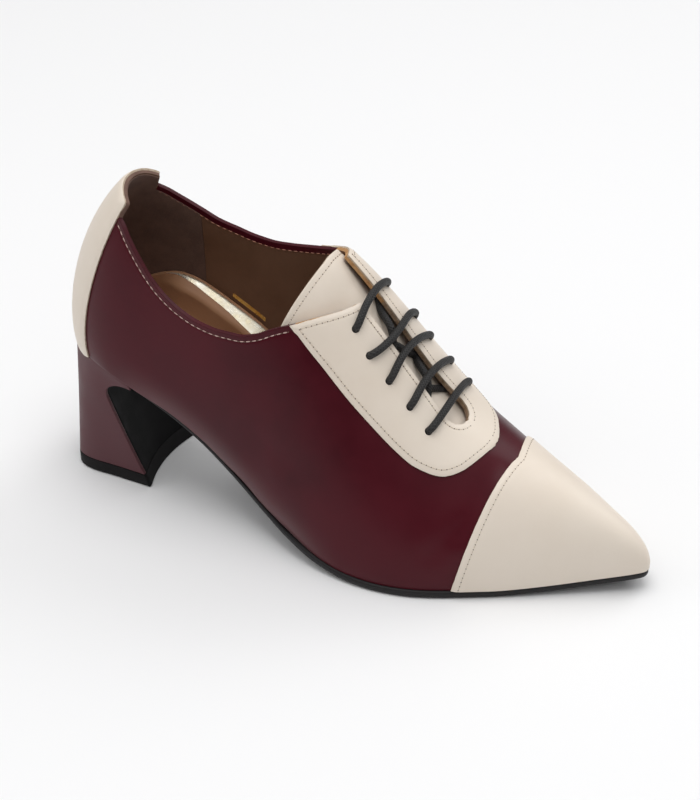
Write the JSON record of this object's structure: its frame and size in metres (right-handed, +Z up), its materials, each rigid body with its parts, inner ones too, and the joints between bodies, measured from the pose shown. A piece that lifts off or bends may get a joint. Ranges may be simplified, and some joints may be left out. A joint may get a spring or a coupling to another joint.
{
  "type": "lace-up heeled shoe",
  "caption": "Right-foot lace-up shoe with a pointed cap toe, slotted eyestay, round cord lace, cupped insole, thin sole and flared block heel.",
  "frame": {"origin": "centre of the bounding box in X and Y of every piece but the lace, on the floor plane the heel lift and the forefoot stand on", "axes": "+X towards the toe, +Y towards the inner (medial) side of the right foot, +Z up"},
  "size_m": [0.247, 0.0832, 0.1343],
  "materials": {
    "burgundy_leather": "polished smooth",
    "cream_leather": "smooth satin",
    "heel_wrap": "matte wrapped",
    "black_rubber": "matte",
    "insole_leather": "matte",
    "waxed_cord": "waxed round cord"
  },
  "bodies": {
    "root": {"upper": "burgundy_leather", "toe_cap": "cream_leather", "eyestay": "cream_leather", "heel_strip": "cream_leather", "tongue": "cream_leather", "insole": "insole_leather", "outsole": "black_rubber", "heel": "heel_wrap", "heel_breast": "black_rubber", "top_lift": "black_rubber", "lace": "waxed_cord"}
  },
  "joints": []
}
